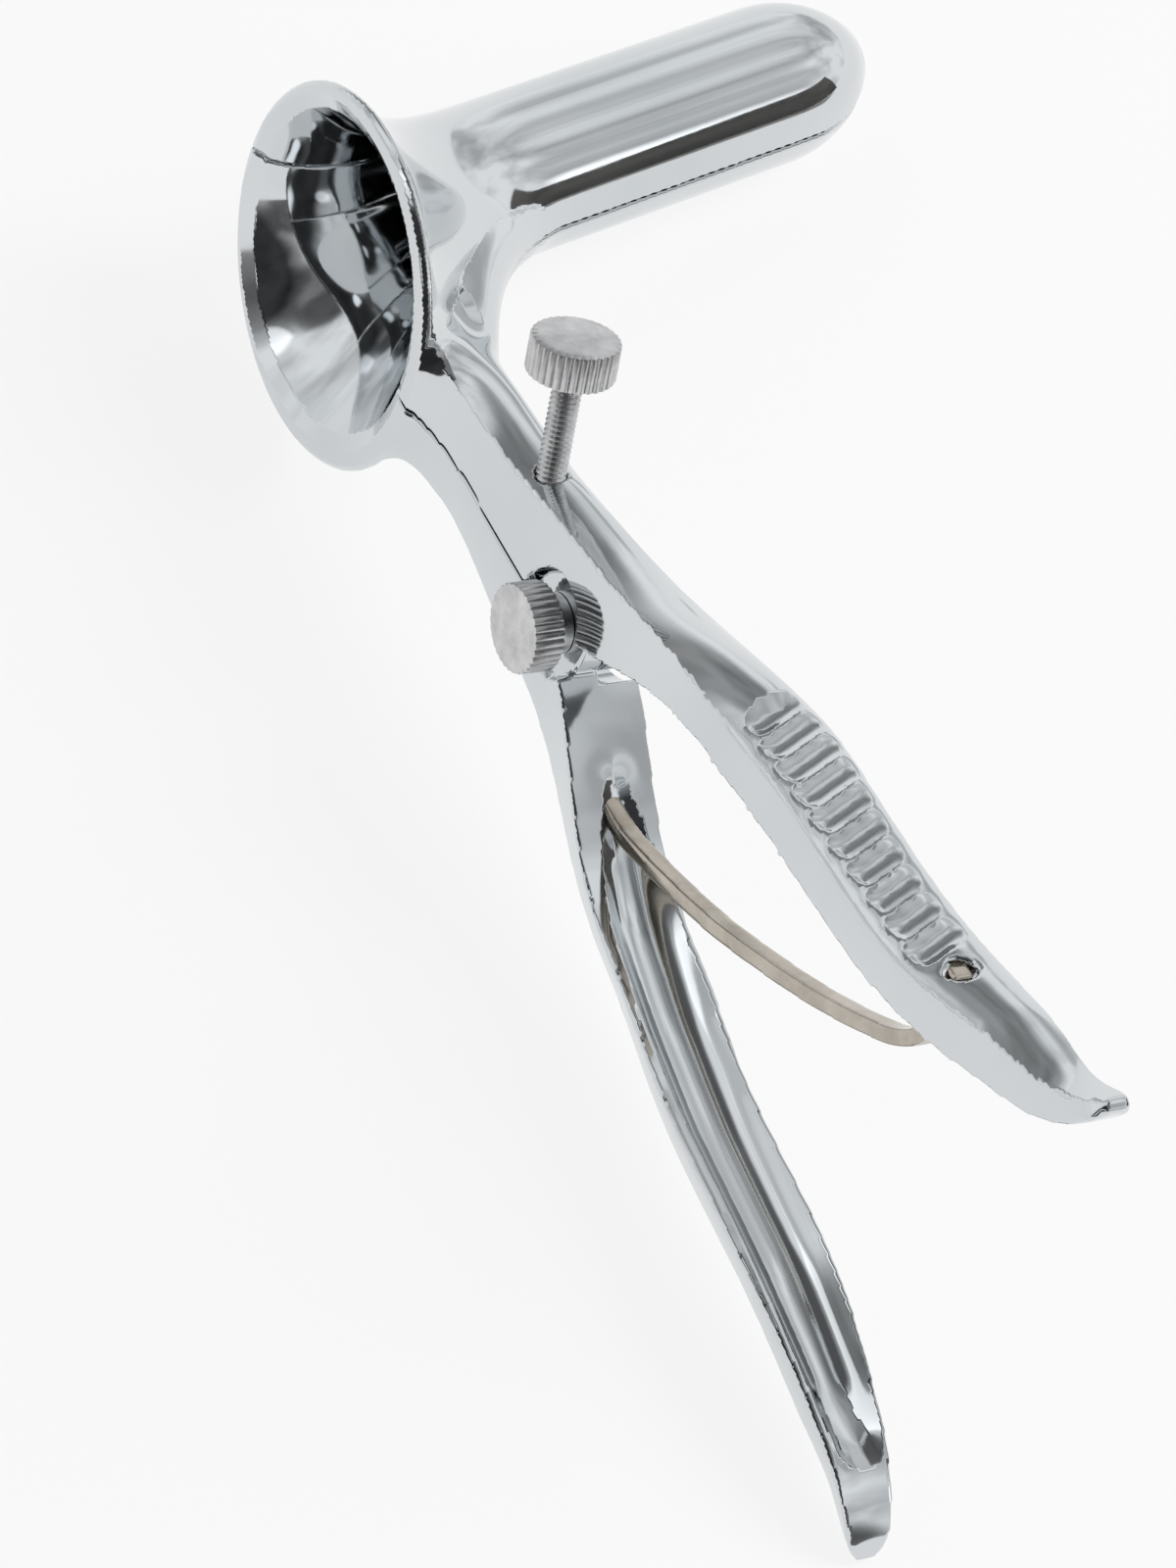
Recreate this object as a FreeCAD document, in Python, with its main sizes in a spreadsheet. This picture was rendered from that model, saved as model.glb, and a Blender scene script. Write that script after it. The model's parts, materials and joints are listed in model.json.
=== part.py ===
import FreeCAD, Part
import math
import os

# Two-valve rectal speculum with non-crossing levers, chrome plated.
#
# Each valve is one forging: half of a funnel mouth that narrows into half of a closed tube, a neck,
# a pivot lug and a channelled handle. Squeezing the handles opens the tube, the bowed spring closes
# it, and the set screw in the right neck holds it open against the left neck.
#
# The pieces are built in the instrument's own axes, in millimetres:
#   X runs along the pivot pin, from its knurled head towards the tube's tip
#   Y runs to the left valve
#   Z runs from the pivot up to the mouth
# and then all get one common placement, which lays the instrument on its left side.

doc = FreeCAD.newDocument("speculum")
sheet = doc.addObject("Spreadsheet::Sheet", "Sizes")

SIZES = [
    # mouth and tube
    ("mouth_radius", 26.0),
    ("mouth_bore_radius", 22.7),
    ("mouth_height", 64.0),
    ("mouth_bore_lift", 0.9),
    ("rim_depth", 2.0),
    ("rim_edge", 0.8),
    ("rim_bevel", 1.1),
    ("tube_radius", 11.4),
    ("tube_wall", 1.8),
    ("tube_length", 103.0),
    ("tube_lift", 6.0),
    ("tube_tilt", 14.6),
    ("tip_dome", 17.3),
    ("tip_nose", 7.8),
    ("flare_depth", 33.0),
    ("flare_power", 2.3),
    ("parting_gap", 0.2),
    ("keel_length", 32.0),
    ("keel_drop", 26.0),
    ("keel_power", 3.0),
    ("keel_half_width", 7.6),
    ("web_reach", 10.2),
    # neck and handle
    ("neck_front", 2.2),
    ("neck_depth", 11.6),
    ("neck_half_width", 10.0),
    ("pivot_half_width", 13.0),
    ("handle_width", 13.0),
    ("handle_front", -2.3),
    ("handle_thickness", 7.4),
    ("handle_spread", 22.9),
    ("curl_reach", 42.7),
    ("handle_length", 117.5),
    # channel and grip flutes
    ("channel_width", 10.0),
    ("channel_depth", 3.9),
    ("channel_set_back", 0.5),
    ("channel_top", 16.0),
    ("channel_end", 110.0),
    ("flute_count", 10),
    ("flute_pitch", 4.6),
    ("flute_radius", 2.9),
    ("flute_depth", 1.5),
    ("flute_slope", 20.0),
    ("flute_fade", 9.7),
    ("flute_front", 4.1),
    ("flute_start", 40.0),
    # pivot
    ("lug_front", 4.2),
    ("lug_radius", 6.8),
    ("lug_thickness", 4.0),
    ("lug_clearance", 0.35),
    ("rear_lug_radius", 6.8),
    ("rear_recess_radius", 8.6),
    ("pin_radius", 2.5),
    ("pin_clearance", 0.06),
    ("knob_radius", 5.9),
    ("knob_height", 4.4),
    ("knob_gap", 2.4),
    ("knob_neck_radius", 4.0),
    ("knob_dome", 0.35),
    ("knurl_count", 32),
    ("knurl_depth", 0.35),
    # set screw
    ("screw_radius", 2.0),
    ("screw_clearance", 0.06),
    ("screw_height", 15.8),
    ("screw_depth", 5.2),
    ("screw_tilt", 16.3),
    ("screw_stand_off", 13.2),
    ("screw_head_radius", 5.9),
    ("screw_head_height", 5.2),
    ("screw_cone_height", 1.8),
    ("screw_tip_gap", 0.1),
    # spring
    ("spring_width", 2.9),
    ("spring_thickness", 2.2),
    ("spring_end_height", 87.4),
    ("spring_hole_clearance", 0.55),
    ("braze_length", 3.2),
    ("braze_width", 1.5),
]
for row, (alias, value) in enumerate(SIZES, 1):
    sheet.set(f"A{row}", alias)
    sheet.set(f"B{row}", str(value))
    sheet.setAlias(f"B{row}", alias)
doc.recompute()

X = FreeCAD.Vector(1, 0, 0)
Y = FreeCAD.Vector(0, 1, 0)
Z = FreeCAD.Vector(0, 0, 1)
TO_X = FreeCAD.Rotation(Z, X)


def size(alias):
    return float(sheet.get(alias))


def bind(item, **expressions):
    """Tie properties of a document object to the cells of the sheet."""
    for name, expression in expressions.items():
        cells = expression
        for alias, _ in sorted(SIZES, key=lambda pair: -len(pair[0])):
            cells = cells.replace("$" + alias, "Sizes." + alias)
        item.setExpression(name.replace("__", "."), cells)
    return item


def place(item, point, rotation=None):
    item.Placement = FreeCAD.Placement(FreeCAD.Vector(*point), rotation or FreeCAD.Rotation())
    return item


def cylinder(name, radius, height, point=(0, 0, 0), rotation=None):
    item = doc.addObject("Part::Cylinder", name)
    bind(item, Radius=radius, Height=height)
    return place(item, point, rotation)


def cut(name, base, *tools):
    item = doc.addObject("Part::Cut", name)
    item.Base = base
    item.Tool = fuse(name + "_tools", *tools) if len(tools) > 1 else tools[0]
    return item


def fuse(name, *shapes):
    item = doc.addObject("Part::MultiFuse", name)
    item.Shapes = list(shapes)
    return item


def common(name, *shapes):
    item = doc.addObject("Part::MultiCommon", name)
    item.Shapes = list(shapes)
    return item


def from_shape(name, shape):
    """A free-form solid or wire that no primitive or sketch feature gives."""
    item = doc.addObject("Part::Feature", name)
    item.Shape = shape
    return item


def smooth_loft(wires):
    return Part.makeLoft(wires, True, False)


# Mouth, funnel and tube

def tube_axis():
    tilt = math.radians(size("tube_tilt"))
    start = FreeCAD.Vector(0, 0, size("mouth_height") + size("tube_lift"))
    return start, FreeCAD.Vector(math.cos(tilt), 0, math.sin(tilt))


def ring(centre, normal, radius):
    """A circle across the funnel, whose seam always lies on the same side."""
    circle = Part.Wire(Part.makeCircle(radius))
    third = normal.cross(Y)
    circle.Placement = FreeCAD.Placement(centre, FreeCAD.Rotation(Y, third * -1, normal, "ZXY"))
    return circle


def funnel(mouth_radius, mouth_centre, tube_radius, start, steps=7):
    """The flare from the upright mouth to the slanted tube, which it meets square and in line."""
    base, direction = tube_axis()
    depth = size("flare_depth")
    mouth = FreeCAD.Vector(0, 0, mouth_centre)
    rings = []
    for step in range(steps + 1):
        along = start + (depth - start) * step / steps
        share = max(1 - along / depth, 0) ** size("flare_power")
        on_tube = base + direction * along
        on_mouth = mouth + X * (along * direction.x)
        normal = (X * share + direction * (1 - share)).normalize()
        radius = tube_radius + share * (mouth_radius - tube_radius)
        rings.append(ring(on_mouth * share + on_tube * (1 - share), normal, radius))
    return smooth_loft(rings)


def tube(name, inset):
    """The straight tube and its blunt end, turned about the slanted axis and drawn in by inset."""
    base, direction = tube_axis()
    radius = size("tube_radius") - inset
    dome = size("tip_dome") - inset
    nose = size("tip_nose") - inset
    wall = size("tube_length") - size("tip_dome") - size("flare_depth")
    side = (radius ** 2 + (dome - nose) ** 2 - nose ** 2) / (2 * (radius - nose))
    side_centre = FreeCAD.Vector(radius - side, 0, wall)
    nose_centre = FreeCAD.Vector(0, 0, wall + dome - nose)
    turn = math.atan2(dome - nose, side - radius)

    def around(centre, reach, angle):
        return centre + FreeCAD.Vector(reach * math.cos(angle), 0, reach * math.sin(angle))

    start = FreeCAD.Vector(radius, 0, wall)
    joint = around(nose_centre, nose, turn)
    tip = FreeCAD.Vector(0, 0, wall + dome)
    corner = FreeCAD.Vector(radius, 0, 0)
    origin = FreeCAD.Vector(0, 0, 0)
    edges = [
        Part.LineSegment(origin, corner),
        Part.LineSegment(corner, start),
        Part.Arc(start, around(side_centre, side, turn / 2), joint),
        Part.Arc(joint, around(nose_centre, nose, turn / 2 + math.pi / 4), tip),
        Part.LineSegment(tip, origin),
    ]
    turned = doc.addObject("Part::Revolution", name)
    turned.Source = from_shape(name + "_profile", Part.Wire([edge.toShape() for edge in edges]))
    turned.Axis = Z
    turned.Solid = True
    return place(turned, base + direction * size("flare_depth"), FreeCAD.Rotation(Z, direction))


def oval(centre, first, second):
    """An ellipse with two given half axes, whose seam always lies at the end of the first."""
    normal = first.cross(second).normalize()
    return Part.Wire(Part.makeCircle(1)).transformGeometry(FreeCAD.Matrix(
        first.x, second.x, normal.x, centre.x,
        first.y, second.y, normal.y, centre.y,
        first.z, second.z, normal.z, centre.z,
        0, 0, 0, 1))


def keel():
    """The web under the tube, which runs down in a hollow curve into the back of the neck."""
    base, direction = tube_axis()
    slope = direction.z / direction.x
    back = size("neck_front") + size("neck_depth")
    sunk = size("tube_radius") * 0.5
    ovals = []
    steps = 6
    for step in range(steps + 1):
        share = step / steps
        x = back - 1 + size("keel_length") * share
        tube_bottom = base.z + slope * x - size("tube_radius") / direction.x
        drop = size("keel_drop") * (1 - share) ** size("keel_power") - 0.3 * share
        top = tube_bottom + sunk
        half_height = (sunk + drop) / 2
        half_width = size("keel_half_width") * (1 - 0.35 * share)
        ovals.append(oval(FreeCAD.Vector(x, 0, top - half_height), Y * half_width, Z * half_height))
    return smooth_loft(ovals)


def shell():
    """The closed tube and mouth as one thin-walled body, before it is parted into two valves."""
    mouth = size("mouth_height")
    rim = cylinder("rim_disc", "$mouth_radius", "$rim_depth", (0, 0, mouth), TO_X)
    flare = from_shape("funnel_outside", funnel(size("mouth_radius") + 0.4, mouth, size("tube_radius"), 1.4))
    outer_tube = tube("tube_outside", 0)
    doc.recompute()
    edged = doc.addObject("Part::Chamfer", "rim_edged")
    edged.Base = rim
    width = size("rim_edge")
    edged.Edges = [(number, width, width) for number, edge in enumerate(rim.Shape.Edges, 1)
                   if isinstance(edge.Curve, Part.Circle)]
    bore_centre = mouth + size("mouth_bore_lift")
    inside = from_shape("funnel_inside", funnel(size("mouth_bore_radius"), bore_centre,
                                                size("tube_radius") - size("tube_wall"), -0.6))
    inner_tube = tube("tube_inside", size("tube_wall"))
    bevel = doc.addObject("Part::Cone", "mouth_bevel")
    bind(bevel, Radius1="$mouth_bore_radius + $rim_bevel * 2", Radius2="$mouth_bore_radius - 0.2",
         Height="$rim_bevel * 2")
    place(bevel, (-size("rim_bevel"), 0, bore_centre), TO_X)
    solid = fuse("shell_outside", edged, flare, outer_tube, from_shape("keel", keel()))
    hollow = fuse("shell_inside", inside, inner_tube, bevel)
    return solid, hollow


# Lever: neck and handle

def lever_stations():
    """Cross-sections of one lever, from inside the funnel down to the curled tip.

    Each is (height, inner face, ridge, crown, heel, front, back, lean): the first five are Z and Y of
    the edges round the section, the next two X, and lean is how far the section turns to stay square
    to the curl, in degrees.
    """
    neck = size("neck_front")
    neck_back = neck + size("neck_depth")
    waist = size("neck_half_width")
    pivot = size("pivot_half_width")
    grip = size("handle_front")
    grip_back = grip + size("handle_width")
    thick = size("handle_thickness")
    spread = size("handle_spread")
    length = size("handle_length")
    mouth_bottom = size("mouth_height") - size("mouth_radius")
    beyond = -2.0
    middle = (grip + grip_back) / 2 + 0.8
    curl = size("curl_reach")
    web = size("web_reach")
    outside = spread + thick
    return [
        (mouth_bottom + 18, beyond, web + 9.3, 7.2, 4.6, neck - 1.4, neck_back + 2.6, 0),
        (mouth_bottom + 11, beyond, web + 6.8, 7.6, 4.4, neck - 1.8, neck_back + 1.4, 0),
        (mouth_bottom + 5.5, beyond, web + 3.6, 8.2, 4.1, neck - 2.0, neck_back + 0.6, 0),
        (mouth_bottom + 1, beyond, web, 8.8, 3.9, neck - 1.9, neck_back + 0.2, 0),
        (mouth_bottom - 3.5, beyond, 8.4, waist - 0.7, 3.8, neck - 0.9, neck_back, 0),
        (mouth_bottom - 9, beyond, 7.9, waist - 0.5, 3.9, neck - 0.1, neck_back, 0),
        (mouth_bottom - 17, beyond, 8.6, waist + 0.1, 4.9, neck, neck_back, 0),
        (mouth_bottom - 31, -0.8, 11.4, pivot - 0.6, 7.9, neck, neck_back, 0),
        (-7, 3.4, 14.4, pivot + 2.3, 12.2, neck - 0.4, neck_back, 0),
        (-19, 10.9, 18.6, 20.0, 17.2, neck - 1.8, neck_back - 1.0, 0),
        (-38, spread - 4.0, 23.6, outside - 3.6, 25.0, -1.2, 11.9, 0),
        (-60, spread, outside - 2.5, outside, outside - 1.2, grip, grip_back, 0),
        (-82, spread + 2.2, outside - 0.3, outside + 2.1, outside + 1.0, grip, grip_back, 0),
        (-97, spread + 6.0, outside + 3.9, outside + 6.0, outside + 5.0, grip + 1.5, grip_back - 0.4, 14),
        (-length + 9.0, curl - 9.2, curl - 4.6, curl - 3.2, curl - 4.2, middle - 4.6, middle + 4.4, 38),
        (-length + 3.2, curl - 4.9, curl - 1.5, curl - 0.6, curl - 1.5, middle - 3.8, middle + 3.6, 48),
        (-length + 0.6, curl - 1.3, curl + 1.1, curl + 1.7, curl + 1.1, middle - 2.9, middle + 2.9, 56),
        (-length, curl + 0.9, curl + 2.1, curl + 2.5, curl + 2.1, middle - 1.6, middle + 1.6, 62),
    ]


def lever_section(height, inner, ridge, crown, heel, front, back, lean):
    """Slightly slanted front, bevel, crowned outside and flat inside, turned about its inner edge."""
    width = back - front

    def at(x, y):
        turn = math.radians(lean)
        offset = y - inner
        return FreeCAD.Vector(x, inner + offset * math.cos(turn), height + offset * math.sin(turn))

    front_inner = at(front, inner)
    front_ridge = at(front + 0.13 * width, ridge)
    bevel_end = at(front + 0.29 * width, ridge + 0.55 * (crown - ridge))
    top = at(front + 0.56 * width, crown)
    back_shoulder = at(back - 0.12 * width, heel + 0.6 * (crown - heel))
    back_ridge = at(back, heel)
    back_inner = at(back, inner)
    edges = [
        Part.LineSegment(front_inner, front_ridge),
        Part.LineSegment(front_ridge, bevel_end),
        Part.Arc(bevel_end, top, back_shoulder),
        Part.LineSegment(back_shoulder, back_ridge),
        Part.LineSegment(back_ridge, back_inner),
        Part.LineSegment(back_inner, front_inner),
    ]
    return Part.Wire([edge.toShape() for edge in edges])


def lever():
    return smooth_loft([lever_section(*station) for station in lever_stations()])


def inner_face(height):
    """Where the inner face and the middle of the lever lie at a height, from its stations."""
    stations = lever_stations()
    for upper, lower in zip(stations, stations[1:]):
        if lower[0] <= height <= upper[0]:
            share = (upper[0] - height) / (upper[0] - lower[0])
            inner = upper[1] + share * (lower[1] - upper[1])
            outer = upper[3] + share * (lower[3] - upper[3])
            middle = (upper[5] + upper[6]) / 2 + share * (lower[5] + lower[6] - upper[5] - upper[6]) / 2
            return inner, middle, outer
    raise ValueError("no station at that height")


def channel():
    """The long half-round channel down the handle's inner face, pointed at its top."""
    half = size("channel_width") / 2
    depth = size("channel_depth")
    top = -size("channel_top")
    end = -size("channel_end")
    stations = [
        (top, 0.12, 0.1),
        (top - 6, 0.55, 0.62),
        (top - 11, 0.8, 0.85),
        (top - 18, 0.97, 0.97),
        (top - 32, 1.0, 1.0),
        ((top + end) / 2, 1.0, 1.0),
        (end + 26, 1.0, 1.0),
        (end + 17, 0.93, 0.97),
        (end + 9, 0.8, 0.85),
        (end + 2, 0.6, 0.45),
        (end, 0.35, 0.12),
    ]
    ovals = []
    for height, wide, deep in stations:
        inner, middle, _ = inner_face(height)
        centre = FreeCAD.Vector(middle + size("channel_set_back"), inner, height)
        ovals.append(oval(centre, X * half * wide, Y * depth * deep))
    return Part.makeLoft(ovals, True, True)


def flutes():
    """Cross grooves on the handle's crowned outside: each starts behind its bevel and fades backwards."""
    tools = []
    for number in range(int(size("flute_count"))):
        height = -size("flute_start") - number * size("flute_pitch")
        _, middle, outer = inner_face(height)
        groove = doc.addObject("Part::Cylinder", f"flute_{number + 1}")
        bind(groove, Radius="$flute_radius", Height="$handle_width * 0.9")
        slope = FreeCAD.Rotation(Y, -size("flute_slope"))
        turn = FreeCAD.Rotation(Z, size("flute_fade")).multiply(slope).multiply(TO_X)
        centre = FreeCAD.Vector(middle, outer + size("flute_radius") - size("flute_depth"), height)
        start = centre - turn.multVec(Z) * size("flute_front")
        tools.append(place(groove, start, turn))
    return fuse("grip_flutes", *tools)


# Pivot

def lug_back():
    return size("lug_front") + size("lug_thickness")


def front_lug():
    return cylinder("front_lug", "$lug_radius", "$lug_thickness", (size("lug_front"), 0, 0), TO_X)


def seat(name):
    """The round seat below the knob, sunk into the necks' front."""
    start = size("neck_front") - 4
    return cylinder(name, "$lug_radius + $lug_clearance", "$lug_front - $neck_front + 4", (start, 0, 0), TO_X)


def front_recess():
    start = size("neck_front") - 4
    return cylinder("front_recess", "$lug_radius + $lug_clearance",
                    "$lug_front - $neck_front + $lug_thickness + $lug_clearance / 2 + 4", (start, 0, 0), TO_X)


def rear_lug():
    start = lug_back() + size("lug_clearance") / 2
    return cylinder("rear_lug", "$rear_lug_radius",
                    "$neck_front + $neck_depth - $lug_front - $lug_thickness - $lug_clearance / 2",
                    (start, 0, 0), TO_X)


def rear_recess():
    start = lug_back() - size("lug_clearance") / 2
    return cylinder("rear_recess", "$rear_recess_radius", "$neck_depth", (start, 0, 0), TO_X)


def pin_hole(name, radius):
    return cylinder(name, radius, "$neck_depth * 2", (0, 0, 0), TO_X)


def knurled(name, radius, height, point, rotation):
    """A round head with straight knurling and softly rounded corners."""
    count = int(size("knurl_count"))
    points = []
    for step in range(2 * count):
        reach = radius - (step % 2) * size("knurl_depth")
        angle = math.pi * step / count
        points.append(FreeCAD.Vector(reach * math.cos(angle), reach * math.sin(angle), 0))
    outline = Part.makePolygon(points + [points[0]])
    body = from_shape(name + "_teeth", Part.Face(outline).extrude(FreeCAD.Vector(0, 0, height)))
    edge = size("knurl_depth") * 1.3
    turned = Part.makeCylinder(radius, height)
    turned = turned.makeChamfer(edge, [e for e in turned.Edges if isinstance(e.Curve, Part.Circle)])
    blank = from_shape(name + "_blank", turned)
    head = common(name, body, blank)
    return place(head, point, rotation)


def pivot_screw():
    """Turned screw: knurled head, bare neck, and a shank through both lugs, flush at the back."""
    underside = size("lug_front") - size("knob_gap")
    cap = underside - size("knob_height")
    head = knurled("knob_head", size("knob_radius"), size("knob_height"), (cap, 0, 0), TO_X)
    dome = doc.addObject("Part::Cone", "knob_cap")
    bind(dome, Radius1="$knob_radius * 0.55", Radius2="$knob_radius - $knurl_depth * 1.6",
         Height="$knob_dome")
    place(dome, (cap - size("knob_dome"), 0, 0), TO_X)
    neck = cylinder("knob_neck", "$knob_neck_radius", "$knob_gap - 0.1", (underside, 0, 0), TO_X)
    shank = cylinder("pin_shank", "$pin_radius", "$knob_gap + $neck_front + $neck_depth - $lug_front",
                     (underside, 0, 0), TO_X)
    return fuse("pivot_screw", head, dome, neck, shank)


# Set screw

def screw_frame():
    """A point on the set screw's axis at the neck's outside, and the axis pointing out of it."""
    tilt = math.radians(size("screw_tilt"))
    outward = FreeCAD.Vector(0, -math.cos(tilt), math.sin(tilt))
    depth = size("neck_front") + size("screw_depth")
    base = FreeCAD.Vector(depth, -size("neck_half_width"), size("screw_height"))
    return base, outward


def screw_tip():
    base, outward = screw_frame()
    to_parting = (-base.y - size("parting_gap") - size("screw_tip_gap")) / -outward.y
    return base - outward * (to_parting - size("screw_radius") * math.tan(math.radians(size("screw_tilt"))))


def set_screw():
    base, outward = screw_frame()
    turn = FreeCAD.Rotation(Z, outward)
    tip = screw_tip()
    reach = (base - tip).Length + size("screw_stand_off")
    shank = doc.addObject("Part::Cylinder", "set_screw_shank")
    bind(shank, Radius="$screw_radius")
    shank.Height = reach
    place(shank, tip, turn)
    cone = doc.addObject("Part::Cone", "set_screw_cone")
    bind(cone, Radius1="$screw_radius", Radius2="$screw_head_radius - 0.6", Height="$screw_cone_height")
    place(cone, base + outward * size("screw_stand_off"), turn)
    head_start = base + outward * (size("screw_stand_off") + size("screw_cone_height"))
    head = knurled("set_screw_head", size("screw_head_radius"), size("screw_head_height"), head_start, turn)
    return fuse("set_screw", shank, cone, head)


def screw_hole():
    base, outward = screw_frame()
    hole = doc.addObject("Part::Cylinder", "set_screw_hole")
    bind(hole, Radius="$screw_radius + $screw_clearance", Height="$neck_half_width * 4")
    return place(hole, base - outward * size("neck_half_width") * 2, FreeCAD.Rotation(Z, outward))


# Spring

def rounded_path(points):
    """Straight runs joined by tangent arcs, each as large as its two runs allow."""
    edges = []
    start = points[0]
    for before, corner, after in zip(points, points[1:], points[2:]):
        along = (corner - before).normalize()
        away = (after - corner).normalize()
        turn = along.getAngle(away)
        shorter = min((corner - before).Length, (after - corner).Length)
        back = 0.45 * shorter
        radius = back / math.tan(turn / 2)
        first = corner - along * back
        last = corner + away * back
        bisector = (away - along).normalize()
        centre = corner + bisector * (radius / math.cos(turn / 2))
        edges.append(Part.LineSegment(start, first).toShape())
        edges.append(Part.Arc(first, centre - bisector * radius, last).toShape())
        start = last
    edges.append(Part.LineSegment(start, points[-1]).toShape())
    return Part.Wire(edges)


def spring_points():
    """The spring's route, from its root in the left channel across to the right handle's hole."""
    end = size("spring_end_height")
    root_inner, root_middle, _ = inner_face(-19)
    end_inner, end_middle, end_outer = inner_face(-end)
    route = [
        (root_inner + 2.6, -18.0),
        (root_inner + 2.5, -24.3),
        (root_inner + 0.9, -29.8),
        (8.3, -39.6),
        (4.5, -48.8),
        (-2.3, -61.8),
        (-6.8, -69.6),
        (-11.5, -76.8),
        (-16.4, -83.5),
        (-20.7, -end + 0.2),
        (-end_inner + 0.5, -end - 0.6),
        (-end_outer + 0.9, -end),
    ]
    slope = (end_middle - root_middle) / (route[0][1] + end)
    return [FreeCAD.Vector(root_middle + slope * (route[0][1] - height), across, height)
            for across, height in route]


def handle_spring():
    """A flat bar swept along the route."""
    points = spring_points()
    width = size("spring_width")
    thickness = size("spring_thickness")
    along = (points[1] - points[0]).normalize()
    third = along.cross(X).normalize()
    across = third.cross(along)
    outline = Part.makePlane(width, thickness, FreeCAD.Vector(-width / 2, -thickness / 2, 0)).OuterWire
    outline.Placement = FreeCAD.Placement(points[0], FreeCAD.Rotation(across, third, along, "ZXY"))
    return from_shape("handle_spring", rounded_path(points).makePipeShell([outline], True, False))


def spring_hole():
    """The round-cornered hole that the spring's free end passes, through the right handle."""
    points = spring_points()
    along = (points[-1] - points[-2]).normalize()
    radius = size("spring_width") / 2 + size("spring_hole_clearance")
    hole = Part.makeCylinder(radius, size("handle_thickness") * 2.2, points[-2] - along * 1.0, along)
    return from_shape("spring_hole", hole)


def spring_braze():
    """The bead of filler over the spring's root."""
    root, onward = spring_points()[:2]
    along = (onward - root).normalize()
    start = root - along * (size("braze_length") / 2 - 0.4)
    return cylinder("spring_braze", "$braze_width * 0.7", "$braze_length", start, FreeCAD.Rotation(Z, along))


# Valves

def half_space(name, side):
    box = doc.addObject("Part::Box", name)
    reach = 400.0
    box.Length = reach
    box.Width = reach
    box.Height = reach
    start = size("parting_gap") if side > 0 else -size("parting_gap") - reach
    return place(box, (-reach / 2, start, -reach / 2))


def mirrored(name, source):
    item = doc.addObject("Part::Mirroring", name)
    item.Source = source
    item.Base = (0, 0, 0)
    item.Normal = (0, 1, 0)
    return item


def valve_blank():
    """What the two valves share, on the left side: shell half, neck, handle, channel and flutes."""
    outside, inside = shell()
    arm = from_shape("lever", lever())
    body = fuse("valve_form", outside, arm)
    hollow = cut("valve_hollow", body, inside)
    half = common("valve_half", hollow, half_space("left_side", 1))
    groove = from_shape("channel", channel())
    return cut("valve_blank", half, groove, flutes())


def left_valve(blank):
    joined = fuse("left_joined", blank, front_lug())
    return cut("left_valve", joined, seat("left_seat"), rear_recess(),
               pin_hole("left_pin_hole", "$pin_radius + $pin_clearance"))


def right_valve(blank):
    other = mirrored("right_blank", blank)
    relieved = cut("right_relieved", other, front_recess())
    joined = fuse("right_joined", relieved, rear_lug())
    return cut("right_valve", joined, pin_hole("right_pin_hole", "$pin_radius + $pin_clearance"),
               screw_hole(), spring_hole())


# Lying at rest

def cloud(shape, deflection=0.15):
    return shape.tessellate(deflection)[0]


def lying_rotation(points):
    """The turn that lays the instrument on the three points of its left side that touch a table."""
    grip = [p for p in points if p.z < -size("handle_length") / 2]
    rim = [p for p in points if p.z > 0 and p.x < size("flare_depth")]
    blade = [p for p in points if p.x > size("tube_length") / 2]
    down = FreeCAD.Vector(0, 1, 0)
    for _ in range(30):
        touching = [max(group, key=lambda p: p.dot(down)) for group in (grip, rim, blade)]
        normal = (touching[1] - touching[0]).cross(touching[2] - touching[0])
        normal.normalize()
        down = normal if normal.y > 0 else normal * -1
    up = down * -1
    ahead = X - up * X.dot(up)
    ahead.normalize()
    side = up.cross(ahead)
    return FreeCAD.Rotation(FreeCAD.Matrix(
        ahead.x, ahead.y, ahead.z, 0,
        side.x, side.y, side.z, 0,
        up.x, up.y, up.z, 0,
        0, 0, 0, 1))


def lying_placement(points_by_piece, seat_points):
    """Origin at the middle of the footprint's box, on the table."""
    turn = lying_rotation(seat_points)
    turned = [turn.multVec(p) for points in points_by_piece for p in points]
    low = [min(p[axis] for p in turned) for axis in range(3)]
    high = [max(p[axis] for p in turned) for axis in range(3)]
    shift = FreeCAD.Vector(-(low[0] + high[0]) / 2, -(low[1] + high[1]) / 2, -low[2])
    return FreeCAD.Placement(shift, turn)


def report(placement):
    """The places that the joints and mounts need, in the lying frame and in metres."""
    base, outward = screw_frame()
    mouth = FreeCAD.Vector(0, 0, size("mouth_height"))
    start, along = tube_axis()
    marks = {
        "pivot": FreeCAD.Vector(lug_back(), 0, 0),
        "set_screw_base": base,
        "mouth_centre": mouth,
        "tube_start": start,
        "tube_tip": start + along * size("tube_length"),
    }
    for name, point in marks.items():
        print(name, [round(v / 1000, 6) for v in placement.multVec(point)])
    ways = {"instrument_x": X, "instrument_y": Y, "instrument_z": Z, "screw_out": outward, "tube": along}
    for name, way in ways.items():
        print(name, [round(v, 6) for v in placement.Rotation.multVec(way)])


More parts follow.
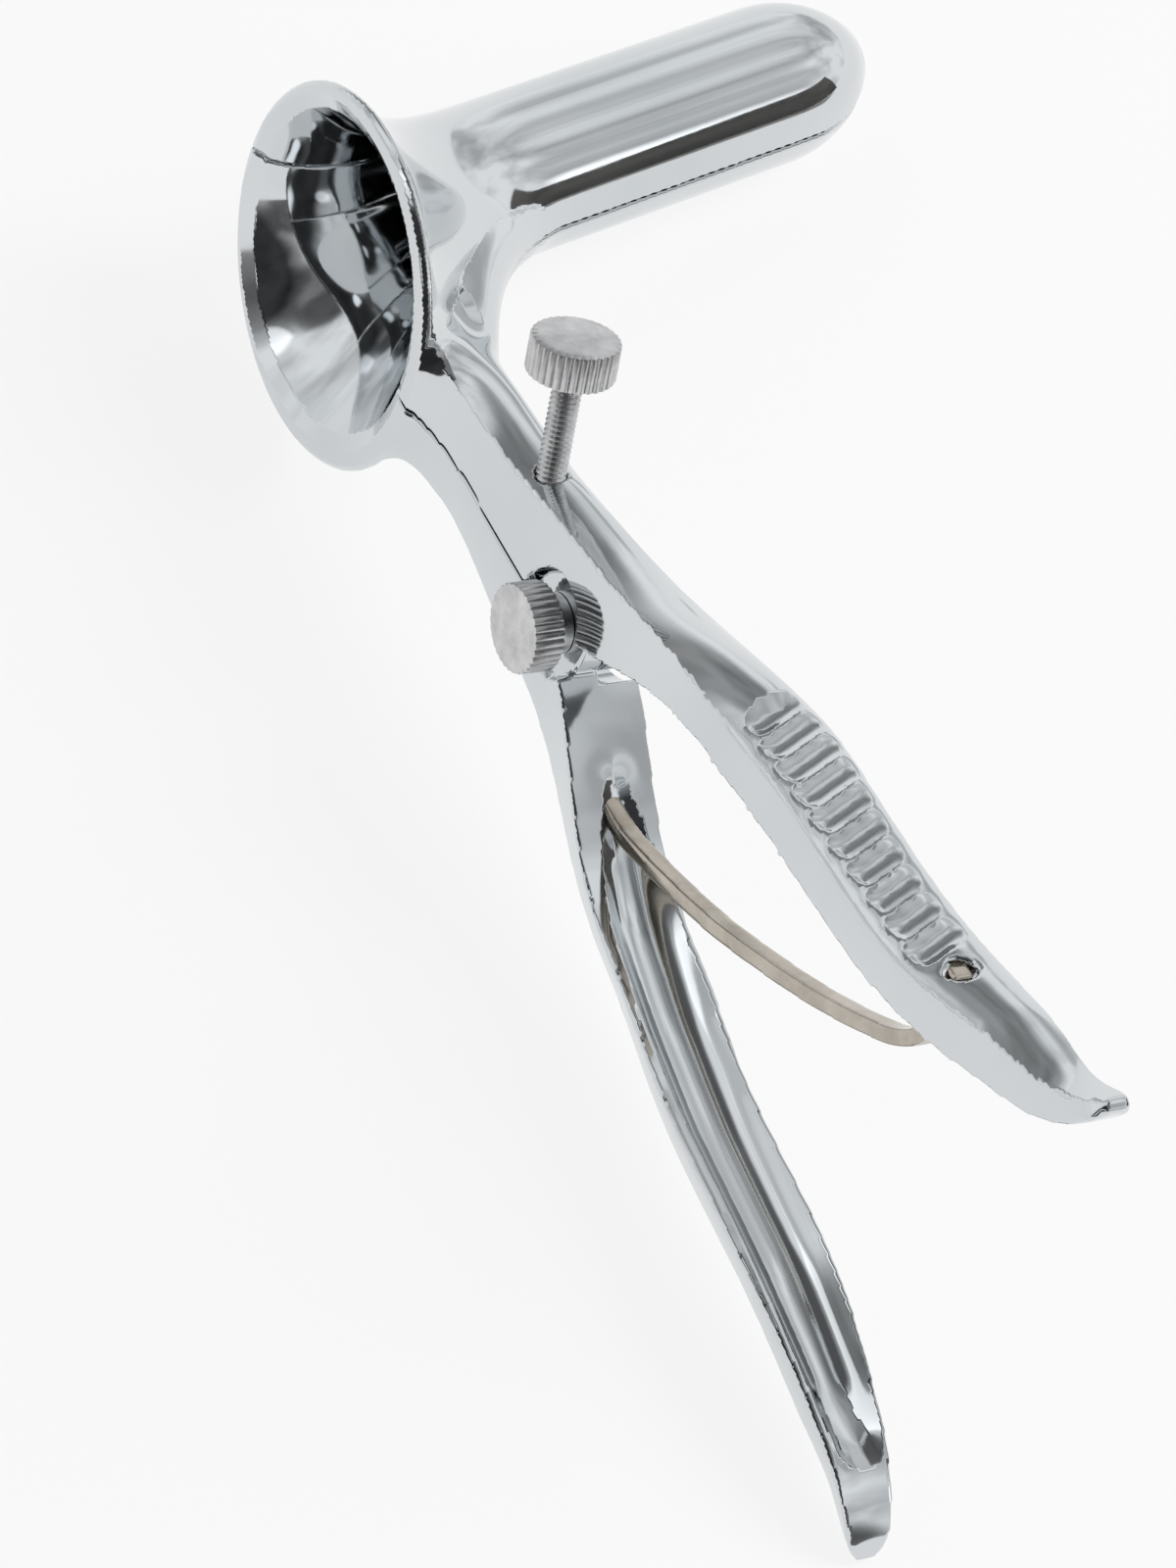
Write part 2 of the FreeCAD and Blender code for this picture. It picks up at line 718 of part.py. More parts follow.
def main():
    blank = valve_blank()
    nodes = {
        "left_valve": left_valve(blank),
        "right_valve": right_valve(blank),
        "pivot_screw": pivot_screw(),
        "set_screw": set_screw(),
        "handle_spring": handle_spring(),
        "spring_braze": spring_braze(),
    }
    doc.recompute()
    for item in doc.Objects:
        if "Invalid" in item.State or "Error" in item.State:
            raise SystemExit(f"{item.Name} failed: {item.State}")
    clouds = {name: cloud(item.Shape) for name, item in nodes.items()}
    placement = lying_placement(clouds.values(), clouds["left_valve"])
    os.makedirs("parts", exist_ok=True)
    for name, item in nodes.items():
        item.Label = name
        item.Placement = placement.multiply(item.Placement)
    doc.recompute()
    for name, item in nodes.items():
        shape = item.Shape
        if shape.isNull() or not shape.isValid() or not shape.Solids:
            raise SystemExit(f"{name} has no valid solid")
        shape.exportStep(f"parts/{name}.step")
        centre = shape.CenterOfMass if hasattr(shape, "CenterOfMass") else shape.CenterOfGravity
        print(name, len(shape.Solids), "solids", round(shape.Volume), "mm3", [round(v, 1) for v in centre])
    report(placement)


main()
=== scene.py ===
import bpy
import json
import math
import numpy as np
from mathutils import Matrix, Vector


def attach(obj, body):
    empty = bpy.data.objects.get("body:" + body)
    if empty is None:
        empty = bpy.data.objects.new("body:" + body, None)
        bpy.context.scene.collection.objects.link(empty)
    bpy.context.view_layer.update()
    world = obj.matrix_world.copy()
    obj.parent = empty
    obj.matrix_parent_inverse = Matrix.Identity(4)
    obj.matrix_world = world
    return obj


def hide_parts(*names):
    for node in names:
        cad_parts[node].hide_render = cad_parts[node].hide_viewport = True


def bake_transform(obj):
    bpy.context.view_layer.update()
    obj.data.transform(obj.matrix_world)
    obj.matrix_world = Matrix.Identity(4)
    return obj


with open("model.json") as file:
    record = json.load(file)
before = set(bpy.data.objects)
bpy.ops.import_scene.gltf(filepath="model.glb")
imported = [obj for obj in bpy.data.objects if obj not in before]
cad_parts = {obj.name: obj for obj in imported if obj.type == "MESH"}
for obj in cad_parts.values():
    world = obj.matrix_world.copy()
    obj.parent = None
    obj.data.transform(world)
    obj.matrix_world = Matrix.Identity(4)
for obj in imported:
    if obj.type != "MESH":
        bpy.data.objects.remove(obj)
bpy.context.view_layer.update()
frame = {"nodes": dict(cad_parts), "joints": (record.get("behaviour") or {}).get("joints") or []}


joints = {joint["name"]: joint for joint in frame["joints"]}

# Sizes of the CAD model in the instrument's axes, in millimetres and radians. X runs along the
# pivot away from its head, Y runs to the left valve and Z runs from the pivot to the mouth.
PIVOT_DEPTH = 8.2
SCREW_TILT = math.radians(16.3)
SCREW_BASE = (7.4, -10.0, 15.8)
SCREW_STAND_OFF = 13.2
MOUTH_HEIGHT = 64.0
MOUTH_BORE_LIFT = 0.9
TUBE_LIFT = 6.0
TUBE_TILT = math.radians(14.6)
FLARE_DEPTH = 33.0
FLARE_POWER = 2.3
FLUTES_TOP = -38
FLUTES_END = -98
KNOB_RADIUS = 5.9
KNURL_TEETH = 32

# The same axes in the row frame, from the directions of the joints
AXIS_X = Vector(joints["valve_pivot"]["axis"]).normalized()
SCREW_OUT = Vector(joints["set_screw_feed"]["axis"]).normalized()
THIRD = AXIS_X.cross(SCREW_OUT)
AXIS_Y = -math.cos(SCREW_TILT) * SCREW_OUT - math.sin(SCREW_TILT) * THIRD
AXIS_Z = math.sin(SCREW_TILT) * SCREW_OUT - math.cos(SCREW_TILT) * THIRD
PIVOT = Vector(joints["valve_pivot"]["pos_m"])


def way(x, y, z):
    """A direction given in the instrument's axes."""
    return AXIS_X * x + AXIS_Y * y + AXIS_Z * z


def spot(x, y, z):
    """A point given in the instrument's axes, in millimetres."""
    return PIVOT + way(x - PIVOT_DEPTH, y, z) / 1000


AXES = np.array([AXIS_X, AXIS_Y, AXIS_Z])
ORIGIN = np.array(spot(0, 0, 0))
UPRIGHT = Matrix(AXES.T.tolist()).to_4x4()


def to_instrument(points):
    """Rows of row-frame points in metres as instrument points in millimetres."""
    return (points - ORIGIN) @ AXES.T * 1000


def from_instrument(points):
    return points / 1000 @ AXES + ORIGIN


# Materials

def make_node(tree, kind, *links, **values):
    """A node with its input values and settings, and with links to (input, source) pairs."""
    item = tree.nodes.new(kind)
    for key, value in values.items():
        if key in item.inputs:
            item.inputs[key].default_value = value
        else:
            setattr(item, key, value)
    for socket, source in links:
        tree.links.new(source, item.inputs[socket])
    return item


class Look:
    """A material whose colour, roughness and relief come from nodes."""

    def __init__(self, name, metallic):
        self.material = bpy.data.materials.new(name)
        self.material.use_nodes = True
        self.tree = self.material.node_tree
        self.shader = self.tree.nodes["Principled BSDF"]
        self.shader.inputs["Metallic"].default_value = metallic
        self.place = self.tree.nodes.new("ShaderNodeTexCoord").outputs["Object"]

    def node(self, kind, **values):
        return make_node(self.tree, kind, **values)

    def link(self, source, target):
        self.tree.links.new(source, target)

    def noise(self, scale, detail, roughness=0.5):
        item = self.node("ShaderNodeTexNoise", Scale=scale, Detail=detail, Roughness=roughness)
        self.link(self.place, item.inputs["Vector"])
        return item.outputs["Fac"]

    def colour(self, source, low, dark, high, light):
        """Base colour from dark, where the noise is low, to light, where it is high."""
        item = self.node("ShaderNodeValToRGB")
        for element, position, tone in zip(item.color_ramp.elements, (low, high), (dark, light)):
            element.position = position
            element.color = (*tone, 1.0)
        self.link(source, item.inputs["Fac"])
        self.link(item.outputs["Color"], self.shader.inputs["Base Color"])

    def roughness(self, source, low, high):
        item = self.node("ShaderNodeMapRange")
        for key, value in (("From Min", 0.3), ("From Max", 0.7), ("To Min", low), ("To Max", high)):
            item.inputs[key].default_value = value
        self.link(source, item.inputs["Value"])
        self.link(item.outputs["Result"], self.shader.inputs["Roughness"])

    def relief(self, source, strength, distance):
        """Bumps, on top of those that are there already."""
        item = self.node("ShaderNodeBump", Strength=strength, Distance=distance)
        self.link(source, item.inputs["Height"])
        normal = self.shader.inputs["Normal"]
        if normal.links:
            self.link(normal.links[0].from_socket, item.inputs["Normal"])
        self.link(item.outputs["Normal"], normal)


def metal(name, tone, colours, wear, roughness, reliefs):
    """A metal. Tone, wear and each relief's grain are a noise's scale, detail and roughness."""
    look = Look(name, 1.0)
    look.colour(look.noise(*tone), *colours)
    look.roughness(look.noise(*wear), *roughness)
    for grain, strength, distance in reliefs:
        look.relief(look.noise(*grain), strength, distance)
    return look.material


PLATE = metal(
    "polished_plate",
    tone=(26.0, 4.0),
    colours=(0.35, (0.62, 0.65, 0.665), 0.65, (0.68, 0.70, 0.715)),
    wear=(90.0, 6.0, 0.65),
    roughness=(0.03, 0.10),
    reliefs=[((40.0, 2.0), 0.10, 0.0005), ((900.0, 2.0, 0.6), 0.012, 0.0001)])
TURNED = metal(
    "turned_steel",
    tone=(420.0, 5.0, 0.7),
    colours=(0.3, (0.50, 0.50, 0.51), 0.7, (0.70, 0.70, 0.70)),
    wear=(160.0, 6.0, 0.7),
    roughness=(0.22, 0.42),
    reliefs=[((1500.0, 3.0, 0.6), 0.12, 0.0001)])
SPRING = metal(
    "spring_steel",
    tone=(150.0, 4.0, 0.6),
    colours=(0.3, (0.38, 0.34, 0.29), 0.7, (0.58, 0.53, 0.46)),
    wear=(240.0, 5.0, 0.6),
    roughness=(0.14, 0.30),
    reliefs=[((700.0, 3.0), 0.06, 0.0001)])
BRAZE = metal(
    "braze",
    tone=(700.0, 4.0, 0.6),
    colours=(0.3, (0.50, 0.38, 0.18), 0.7, (0.80, 0.66, 0.40)),
    wear=(900.0, 4.0),
    roughness=(0.18, 0.40),
    reliefs=[((1200.0, 3.0), 0.4, 0.0002)])


def paint(piece, material):
    piece.data.materials.clear()
    piece.data.materials.append(material)


# Mesh work

def add_mesh(name, mesh):
    piece = bpy.data.objects.new(name, mesh)
    bpy.context.scene.collection.objects.link(piece)
    return piece


def apply_modifiers(piece):
    bpy.context.view_layer.update()
    evaluated = piece.evaluated_get(bpy.context.evaluated_depsgraph_get())
    shaped = bpy.data.meshes.new_from_object(evaluated)
    piece.modifiers.clear()
    old = piece.data
    piece.data = shaped
    bpy.data.meshes.remove(old)


def read_points(mesh):
    points = np.empty(len(mesh.vertices) * 3)
    mesh.vertices.foreach_get("co", points)
    return points.reshape(-1, 3)


def write_points(mesh, points):
    mesh.vertices.foreach_set("co", np.ascontiguousarray(points).ravel())
    mesh.update()


def rise(values, start, width):
    """0 up to the start, then up to 1 over the width."""
    return np.clip((values - start) / width, 0, 1)


def soften(piece, name, rounds):
    modifier = piece.modifiers.new(name, "SMOOTH")
    modifier.factor = 0.5
    modifier.iterations = rounds
    return modifier


def soften_where(piece, name, weights, rounds):
    """Smoothing held to the points that have a weight."""
    levels = 20
    group = piece.vertex_groups.new(name=name)
    steps = np.round(np.clip(weights, 0, 1) * levels).astype(int)
    for step in range(1, levels + 1):
        chosen = np.nonzero(steps == step)[0].tolist()
        if chosen:
            group.add(chosen, step / levels, "REPLACE")
    soften(piece, name, rounds).vertex_group = name


def skinned(name, node, voxel, rounds):
    """A copy of a CAD piece as one fine skin, its edges softened by so many rounds of smoothing.

    The voxels lie along the instrument's own axes, so that its flat faces stay clean.
    """
    piece = add_mesh(name, frame["nodes"][node].data.copy())
    piece.data.transform(UPRIGHT.inverted())
    remesh = piece.modifiers.new("skin", "REMESH")
    remesh.mode = "VOXEL"
    remesh.voxel_size = voxel
    soften(piece, "soften", rounds)
    apply_modifiers(piece)
    piece.data.transform(UPRIGHT)
    piece.data.shade_smooth()
    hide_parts(node)
    return piece


def calm_normals(mesh, rounds, limit, freedom):
    """Even out the shading between points whose normals differ by less than the limit.

    Points with no freedom take part in the first few rounds only.
    """
    first_rounds = 4
    count = len(mesh.vertices)
    normals = np.empty(count * 3)
    mesh.vertex_normals.foreach_get("vector", normals)
    normals = normals.reshape(-1, 3)
    edges = np.empty(len(mesh.edges) * 2, dtype=np.int32)
    mesh.edges.foreach_get("vertices", edges)
    first, second = edges.reshape(-1, 2).T
    least = math.cos(math.radians(limit))
    for step in range(rounds):
        alike = (normals[first] * normals[second]).sum(axis=1)
        weight = rise(alike, least, 1 - least)
        mixed = normals.copy()
        for axis in range(3):
            mixed[:, axis] += np.bincount(first, weight * normals[second, axis], count)
            mixed[:, axis] += np.bincount(second, weight * normals[first, axis], count)
        mixed /= np.linalg.norm(mixed, axis=1)[:, None]
        share = 1.0 if step < first_rounds else freedom[:, None]
        normals = normals * (1 - share) + mixed * share
        normals /= np.linalg.norm(normals, axis=1)[:, None]
    mesh.normals_split_custom_set_from_vertices(normals.tolist())


# Valves: the forging as the polisher leaves it, its funnel walls true and every edge softened

VALVE_VOXEL = 0.00047
FUNNEL_BASE = np.array([0, 0, MOUTH_HEIGHT + TUBE_LIFT])
TUBE_WAY = np.array([math.cos(TUBE_TILT), 0, math.sin(TUBE_TILT)])

# Each wall: radius at the mouth, height of the mouth's centre, radius in the tube, where it starts
INNER_WALL = (22.7, MOUTH_HEIGHT + MOUTH_BORE_LIFT, 9.6, 1.2)
OUTER_WALL = (26.4, MOUTH_HEIGHT, 11.4, 2.6)
WALLS_END = FLARE_DEPTH - 0.5

# Where a valve is softened: below the top of the lever, at the rim's foot on the neck, and in the
# hollow between rim, tube and neck. The last two have a centre, radii, a peak and a fall.
LEVER_TOP = -34
FOOT = ((3.5, 6.5, 39.5), (5, 5.5, 6), 2, 1.6)
HOLLOW = ((9.5, 9, 44), (8, 8, 10), 1.6, 1.25)
PARTING_EDGE = 2.2
RIM_EDGE = 24.6

# Rounds of smoothing
SKIN_ROUNDS = 5
LEVER_ROUNDS = 10
FOOT_ROUNDS = 70
HOLLOW_ROUNDS = 80
SHADING_ROUNDS = 90
SHADING_LIMIT = 11


def funnel_reading(points, mouth_radius, mouth_centre, tube_radius):
    """For each point: how far along the funnel it lies, the ring's centre there and its radius."""
    halvings = 24
    low = np.zeros(len(points))
    high = np.full(len(points), FLARE_DEPTH)
    mouth = np.array([0, 0, mouth_centre])

    def ring(along):
        share = np.clip(1 - along / FLARE_DEPTH, 0, 1) ** FLARE_POWER
        on_tube = FUNNEL_BASE + along[:, None] * TUBE_WAY
        on_mouth = mouth + along[:, None] * np.array([TUBE_WAY[0], 0, 0])
        centre = on_mouth * share[:, None] + on_tube * (1 - share[:, None])
        normal = np.array([1.0, 0, 0]) * share[:, None] + TUBE_WAY * (1 - share[:, None])
        normal /= np.linalg.norm(normal, axis=1)[:, None]
        return centre, normal, tube_radius + share * (mouth_radius - tube_radius)

    for _ in range(halvings):
        along = (low + high) / 2
        centre, normal, _ = ring(along)
        ahead = ((points - centre) * normal).sum(axis=1) > 0
        low = np.where(ahead, along, low)
        high = np.where(ahead, high, along)
    centre, _, radius = ring(along)
    return along, centre, radius


def true_up(points, mouth_radius, mouth_centre, tube_radius, first):
    """Bring the points that lie near one funnel wall onto it."""
    reach = 0.55
    along, centre, radius = funnel_reading(points, mouth_radius, mouth_centre, tube_radius)
    out = points - centre
    length = np.linalg.norm(out, axis=1)
    miss = np.abs(length - radius)
    inside = rise(along, first, 1.0) * rise(-along, -WALLS_END, 1.0)
    pull = rise(-miss, -reach, 0.4 * reach) * inside
    wanted = centre + out * (radius / np.maximum(length, 1e-6))[:, None]
    return points + (wanted - points) * pull[:, None]


def round_about(points, centre, radii, peak, fall):
    """Weights round a point of either valve, which fall with the distance from it."""
    x, y, z = points.T
    apart = np.linalg.norm((np.stack([x, np.abs(y), z], axis=1) - centre) / radii, axis=1)
    return np.clip(peak - apart * fall, 0, 1)


def polished_valve(name, node, body):
    piece = skinned(name, node, VALVE_VOXEL, SKIN_ROUNDS)
    points = to_instrument(read_points(piece.data))
    points = true_up(points, *INNER_WALL)
    points = true_up(points, *OUTER_WALL)
    write_points(piece.data, from_instrument(points))

    x, y, z = points.T
    off_parting = rise(np.abs(y), PARTING_EDGE, 1.6)
    off_rim = rise(np.hypot(y, z - MOUTH_HEIGHT), RIM_EDGE, 0.8)
    fluted = rise(-z, -FLUTES_TOP, 2) * rise(z, FLUTES_END, 2) * (y < 0)
    lever = rise(-z, -LEVER_TOP, 4) * (1 - 0.8 * fluted)
    foot = round_about(points, *FOOT) * off_rim
    foot *= off_parting * rise(x, 0.8, 0.8)
    hollow = round_about(points, *HOLLOW)
    hollow *= off_parting * rise(x, 3.0, 1.2)
    soften_where(piece, "foot", foot, FOOT_ROUNDS)
    soften_where(piece, "lever", lever, LEVER_ROUNDS)
    soften_where(piece, "hollow", hollow, HOLLOW_ROUNDS)
    apply_modifiers(piece)
    calm_normals(piece.data, SHADING_ROUNDS, SHADING_LIMIT, 1 - fluted)

    paint(piece, PLATE)
    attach(piece, body)


polished_valve("left_valve_polished", "left_valve", "left_half")
polished_valve("right_valve_polished", "right_valve", "right_half")


# Turned pieces: profiles swept round an axis, with knurling and thread

AROUND = KNURL_TEETH * 8
SHARP_EDGE = math.radians(48)


def turned(name, base, outward, rings):
    """A closed body of revolution. Each ring is (height, radius at an angle), in millimetres."""
    outward = Vector(outward).normalized()
    first = outward.orthogonal().normalized()
    second = outward.cross(first)
    points = []
    for height, radius in rings:
        for step in range(AROUND):
            angle = 2 * math.pi * step / AROUND
            reach = radius(angle) / 1000
            points.append(base + outward * height / 1000
                          + first * reach * math.cos(angle) + second * reach * math.sin(angle))
    faces = []
    for ring in range(len(rings) - 1):
        for step in range(AROUND):
            after = (step + 1) % AROUND
            low = ring * AROUND
            high = low + AROUND
            faces.append((low + step, low + after, high + after, high + step))
    faces.append(tuple(reversed(range(AROUND))))
    faces.append(tuple(range((len(rings) - 1) * AROUND, len(rings) * AROUND)))
    mesh = bpy.data.meshes.new(name)
    mesh.from_pydata([tuple(p) for p in points], [], faces)
    mesh.shade_smooth()
    mesh.set_sharp_from_angle(angle=SHARP_EDGE)
    return add_mesh(name, mesh)


def plain(radius):
    return lambda angle: radius


def knurled(radius, depth):
    """Rounded teeth with narrow grooves between them."""
    def at(angle):
        wave = abs(math.sin(KNURL_TEETH * angle / 2))
        return radius - depth * (1 - wave ** 0.6)
    return at


def threaded(crest, depth, pitch, height):
    """A thread's radius at one height, with straight flanks."""
    def at(angle):
        turn = (height / pitch - angle / (2 * math.pi)) % 1
        return crest - depth * abs(2 * turn - 1)
    return at


def head_rings(start, height, dome):
    """A knurled head: bevelled corners, knurled side and a faintly domed, faced top."""
    edge = 0.35
    groove = 0.42
    side = knurled(KNOB_RADIUS, groove)
    corner = knurled(KNOB_RADIUS - edge * 0.3, groove * 0.6)
    rings = [
        (start, plain(KNOB_RADIUS - edge - 0.3)),
        (start + edge * 0.3, corner),
        (start + edge, side),
        (start + height - edge, side),
        (start + height - edge * 0.3, corner),
        (start + height, plain(KNOB_RADIUS - edge - 0.1)),
    ]
    for share in (0.85, 0.6, 0.3, 0.06):
        top = start + height + dome * (1 - share ** 2)
        rings.append((top, plain((KNOB_RADIUS - edge) * share)))
    return rings


def set_screw():
    """Measured out from the neck's face: thread, cone and head."""
    pitch = 0.75
    crest = 2.0
    depth = 0.42
    tip = -9.6
    cone = 1.8
    cone_end = SCREW_STAND_OFF + cone
    rings = [(tip, plain(0.2)), (tip + 0.02, plain(1.35))]
    height = tip + 0.35
    while height < SCREW_STAND_OFF - 0.3:
        rings.append((height, threaded(crest, depth, pitch, height)))
        height += pitch / 8
    rings += [
        (SCREW_STAND_OFF, plain(1.8)),
        (SCREW_STAND_OFF + cone * 0.25, plain(2.1)),
        (SCREW_STAND_OFF + cone * 0.75, plain(4.2)),
        (cone_end, plain(5.2)),
    ]
    rings += head_rings(cone_end + 0.02, 5.16, 0.18)
    return turned("set_screw_threaded", spot(*SCREW_BASE), SCREW_OUT, rings)


def pivot_screw():
    """Measured back from the end of the shank towards the head: shank, neck and head."""
    end = 13.8
    underside = 1.8
    length = end - underside
    shank = plain(2.5)
    neck = plain(4.0)
    rings = [
        (0, plain(2.1)),
        (0.3, shank),
        (length - 2.3, shank),
        (length - 2.28, neck),
        (length - 0.12, neck),
    ]
    rings += head_rings(length, 4.4, 0.3)
    return turned("pivot_screw_turned", spot(end, 0, 0), -AXIS_X, rings)


for build, node, body in ((set_screw, "set_screw", "stop"), (pivot_screw, "pivot_screw", "pivot")):
    piece = build()
    paint(piece, TURNED)
    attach(piece, body)
    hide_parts(node)


# Spring, bent between the two handles, and its filler

SPRING_VOXEL = 0.00022
BEAD_VOXEL = 0.00012

bow = skinned("handle_spring_bow", "handle_spring", SPRING_VOXEL, rounds=22)
paint(bow, SPRING)
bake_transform(bow)

bead = skinned("spring_braze_bead", "spring_braze", BEAD_VOXEL, rounds=12)
paint(bead, BRAZE)
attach(bead, "left_half")

for node, material in (("left_valve", PLATE), ("right_valve", PLATE), ("pivot_screw", TURNED),
                       ("set_screw", TURNED), ("handle_spring", SPRING), ("spring_braze", BRAZE)):
    paint(frame["nodes"][node], material)


# Floor, and the flags that give the chrome its dark streaks

MATT = 0.9


def floor_look():
    """Pale paper, which camera and metal see near white while it keeps the shadow."""
    own_light = 0.84
    look = Look("floor_paper", 0.0)
    look.shader.inputs["Roughness"].default_value = MATT
    look.colour(look.noise(3.0, 2.0), 0.3, (0.91, 0.91, 0.91), 0.7, (0.94, 0.94, 0.94))
    path = look.node("ShaderNodeLightPath")
    seen = look.node("ShaderNodeMath", operation="MAXIMUM")
    look.link(path.outputs["Is Camera Ray"], seen.inputs[0])
    look.link(path.outputs["Is Glossy Ray"], seen.inputs[1])
    share = look.node("ShaderNodeMath", operation="MULTIPLY")
    look.link(seen.outputs[0], share.inputs[0])
    share.inputs[1].default_value = own_light
    glow = look.node("ShaderNodeEmission", Strength=1.0)
    mix = look.node("ShaderNodeMixShader")
    look.link(share.outputs[0], mix.inputs[0])
    look.link(look.shader.outputs[0], mix.inputs[1])
    look.link(glow.outputs[0], mix.inputs[2])
    look.link(mix.outputs[0], look.tree.nodes["Material Output"].inputs["Surface"])
    return look.material


def flat_card(name, centre, normal, width, height, material):
    mesh = bpy.data.meshes.new(name)
    turn = Vector(normal).to_track_quat("Z", "Y")
    points = [Vector(centre) + turn @ Vector((x * width / 2, y * height / 2, 0))
              for x, y in ((-1, -1), (1, -1), (1, 1), (-1, 1))]
    mesh.from_pydata([tuple(p) for p in points], [], [(0, 1, 2, 3)])
    piece = add_mesh(name, mesh)
    paint(piece, material)
    return piece


def flag(name, centre, normal, width, height, tone):
    """A dark studio flag that only reflections see."""
    look = Look(name, 0.0)
    look.shader.inputs["Roughness"].default_value = MATT
    dark = (tone * 0.5, tone * 0.5, tone * 0.5)
    warm = (tone * 1.5, tone * 1.42, tone * 1.3)
    look.colour(look.noise(7.0, 3.0), 0.35, dark, 0.65, warm)
    piece = flat_card(name, centre, normal, width, height, look.material)
    piece.visible_camera = False
    piece.visible_diffuse = False
    piece.visible_shadow = False


flat_card("floor", (0, 0, 0), (0, 0, 1), 6.0, 6.0, floor_look())
flag("standing_flag", (0.26, -0.08, 0.05), (-0.81, 0.59, 0), width=0.24, height=0.10, tone=0.12)
flag("floor_flag", (0.20, -0.045, 0.002), (0, 0, 1), width=0.09, height=0.15, tone=0.20)


# The studio as the metal sees it: pale and hazy all round, dimmer overhead and behind the camera

DIM_PATCHES = (
    # azimuth, elevation, radius that is fully dim, radius where it ends, light left
    (0, 90, 20, 36, 0.26),
    (137, 72, 7, 15, 0.45),
    (-152, 30, 32, 48, 0.05),
    (-85, 6, 24, 36, 0.18),
    (78, 26, 14, 26, 0.40),
    (-36, 2, 6, 10, 0.15),
)
BRIGHT_PATCHES = (
    # azimuth, elevation, radius that is fully bright, radius where it ends, light added
    (-30, 17, 4, 9, 0.9),
    (-168, 22, 3, 7, 1.5),
    (-128, 10, 3, 7, 1.5),
    (160, 48, 5, 9, 0.8),
)

world = bpy.data.worlds.new("studio")
bpy.context.scene.world = world
world.use_nodes = True
sky = world.node_tree


def sky_node(kind, *links, **values):
    return make_node(sky, kind, *links, **values)


def wandering(place):
    """The direction, bent a little by noise, so that patches have soft uneven edges."""
    noise = sky_node("ShaderNodeTexNoise", ("Vector", place), Scale=1.6, Detail=2.0)
    middle = sky_node("ShaderNodeVectorMath", (0, noise.outputs["Color"]), operation="SUBTRACT")
    middle.inputs[1].default_value = (0.5, 0.5, 0.5)
    drift = sky_node("ShaderNodeVectorMath", (0, middle.outputs[0]), operation="SCALE", Scale=0.35)
    moved = sky_node("ShaderNodeVectorMath", (0, place), (1, drift.outputs[0]), operation="ADD")
    return sky_node("ShaderNodeVectorMath", (0, moved.outputs[0]), operation="NORMALIZE").outputs[0]


def patch(place, azimuth, elevation, inner, outer, outside, inside):
    """A value that goes smoothly from outside to inside a round patch of the sky."""
    side = math.cos(math.radians(elevation))
    toward = (side * math.cos(math.radians(azimuth)), side * math.sin(math.radians(azimuth)),
              math.sin(math.radians(elevation)))
    near = sky_node("ShaderNodeVectorMath", (0, place), operation="DOT_PRODUCT")
    near.inputs[1].default_value = toward
    value = sky_node("ShaderNodeMapRange", ("Value", near.outputs["Value"]),
                     interpolation_type="SMOOTHSTEP")
    value.inputs["From Min"].default_value = math.cos(math.radians(outer))
    value.inputs["From Max"].default_value = math.cos(math.radians(inner))
    value.inputs["To Min"].default_value = outside
    value.inputs["To Max"].default_value = inside
    return value.outputs["Result"]


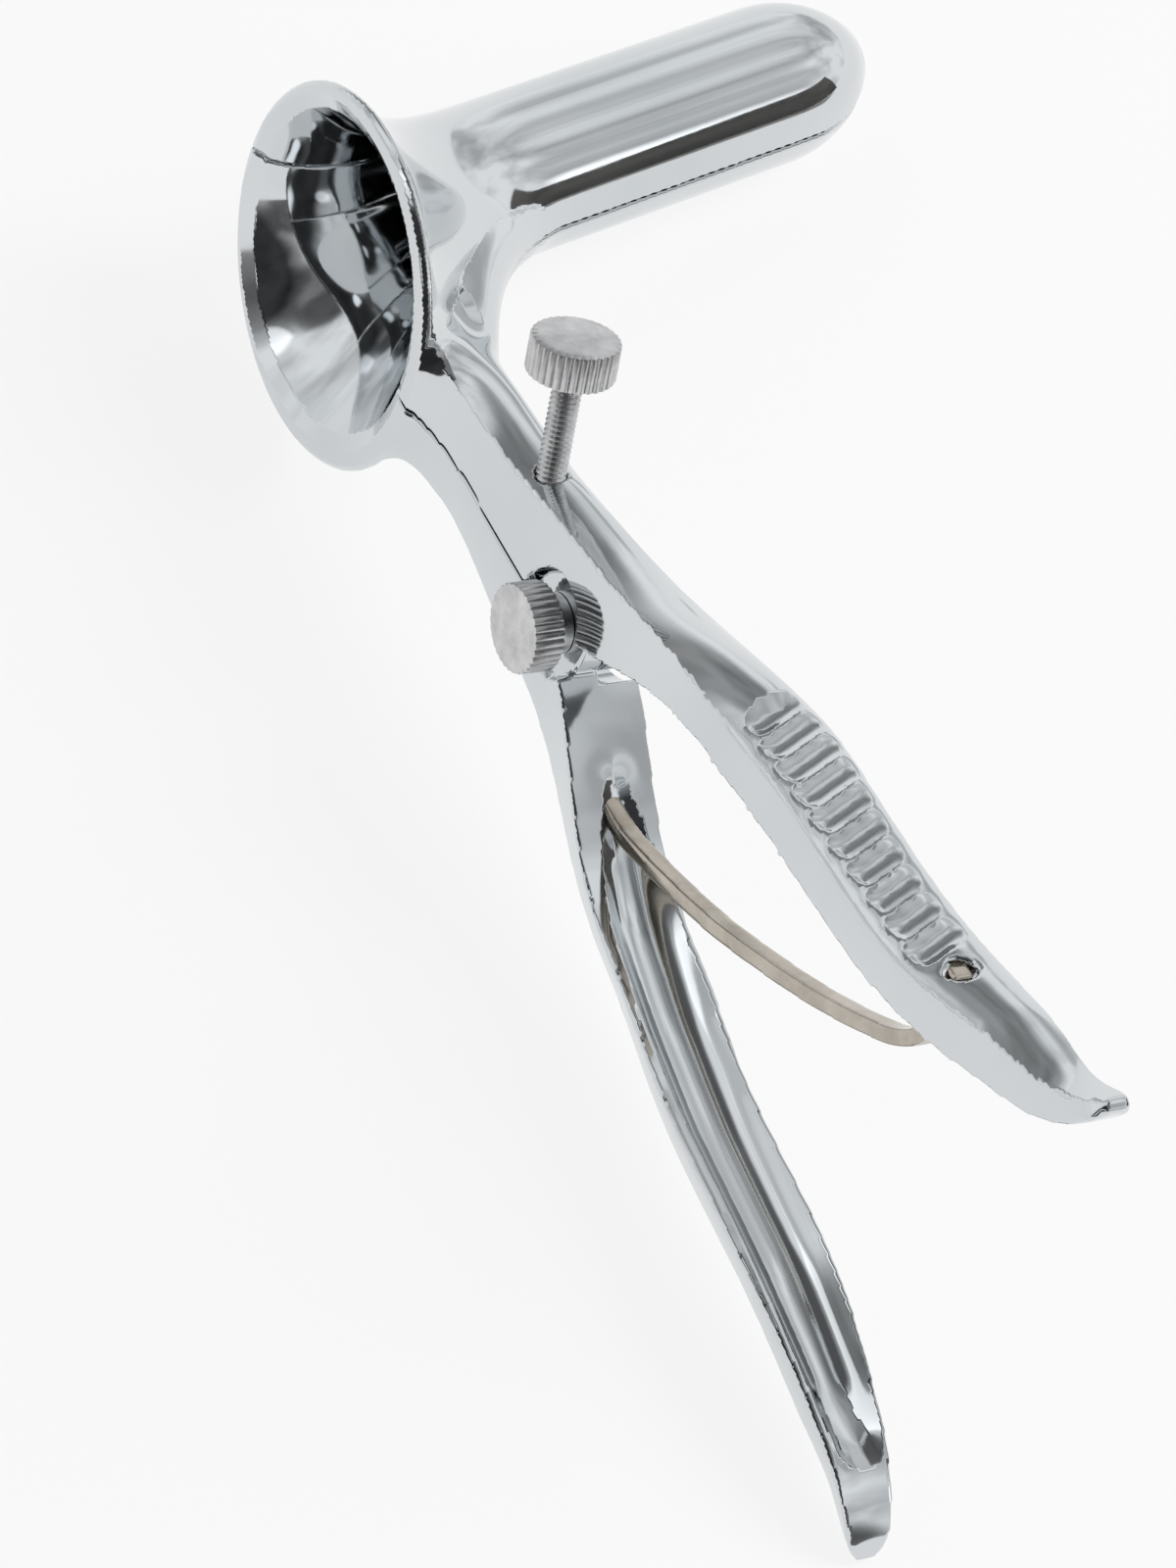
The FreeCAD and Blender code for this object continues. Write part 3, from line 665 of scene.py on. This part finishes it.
place = wandering(sky_node("ShaderNodeTexCoord").outputs["Generated"])
noise = sky_node("ShaderNodeTexNoise", ("Vector", place), Scale=3.4, Detail=3.0)
haze = sky_node("ShaderNodeMapRange", ("Value", noise.outputs["Fac"]))
for key, value in (("From Min", 0.32), ("From Max", 0.62), ("To Min", 0.50), ("To Max", 1.0)):
    haze.inputs[key].default_value = value
level = haze.outputs["Result"]
for *where, left in DIM_PATCHES:
    level = sky_node("ShaderNodeMath", (0, level), (1, patch(place, *where, 1.0, left)),
                     operation="MULTIPLY").outputs[0]
for *where, added in BRIGHT_PATCHES:
    level = sky_node("ShaderNodeMath", (0, level), (1, patch(place, *where, 0.0, added)),
                     operation="ADD").outputs[0]

studio = sky.nodes["Background"]
studio.inputs["Color"].default_value = (0.98, 0.99, 1.0, 1)
sky.links.new(level, studio.inputs["Strength"])
backdrop = sky_node("ShaderNodeBackground", Strength=1.0)
backdrop.inputs["Color"].default_value = (1, 1, 1, 1)
seen = sky_node("ShaderNodeLightPath").outputs["Is Camera Ray"]
choice = sky_node("ShaderNodeMixShader", (0, seen), (1, studio.outputs[0]),
                  (2, backdrop.outputs[0]))
sky.links.new(choice.outputs[0], sky.nodes["World Output"].inputs["Surface"])


# Lamp and camera

LAMP_PLACE = Vector((0.9, -0.2, 1.0))

lamp = bpy.data.lights.new("key", "AREA")
lamp.shape = "RECTANGLE"
lamp.size = 0.5
lamp.size_y = 0.9
lamp.energy = 9.0
key_light = bpy.data.objects.new("key", lamp)
bpy.context.scene.collection.objects.link(key_light)
key_light.location = LAMP_PLACE
key_light.rotation_euler = (-LAMP_PLACE).to_track_quat("-Z", "Y").to_euler()
key_light.visible_glossy = False

# The camera was fitted to the photo: its focal length, the two directions and its place
FOCAL_PIXELS = 6446.0
FRAME_HEIGHT = 1600.0

lens = bpy.data.cameras.new("camera")
lens.sensor_fit = "AUTO"
lens.sensor_width = 36.0
lens.lens = FOCAL_PIXELS / FRAME_HEIGHT * lens.sensor_width
lens.clip_start = 0.01
lens.clip_end = 20.0
camera = bpy.data.objects.new("camera", lens)
bpy.context.scene.collection.objects.link(camera)
right = way(0.8560, -0.2960, -0.4250).normalized()
back = way(-0.5000, -0.6850, -0.5290)
back = (back - right * back.dot(right)).normalized()
up = back.cross(right)
stand = spot(-396.5, -537.5, -441.5)
camera.matrix_world = Matrix((
    (right.x, up.x, back.x, stand.x),
    (right.y, up.y, back.y, stand.y),
    (right.z, up.z, back.z, stand.z),
    (0, 0, 0, 1)))
bpy.context.scene.camera = camera
bpy.context.scene.view_settings.view_transform = "Standard"
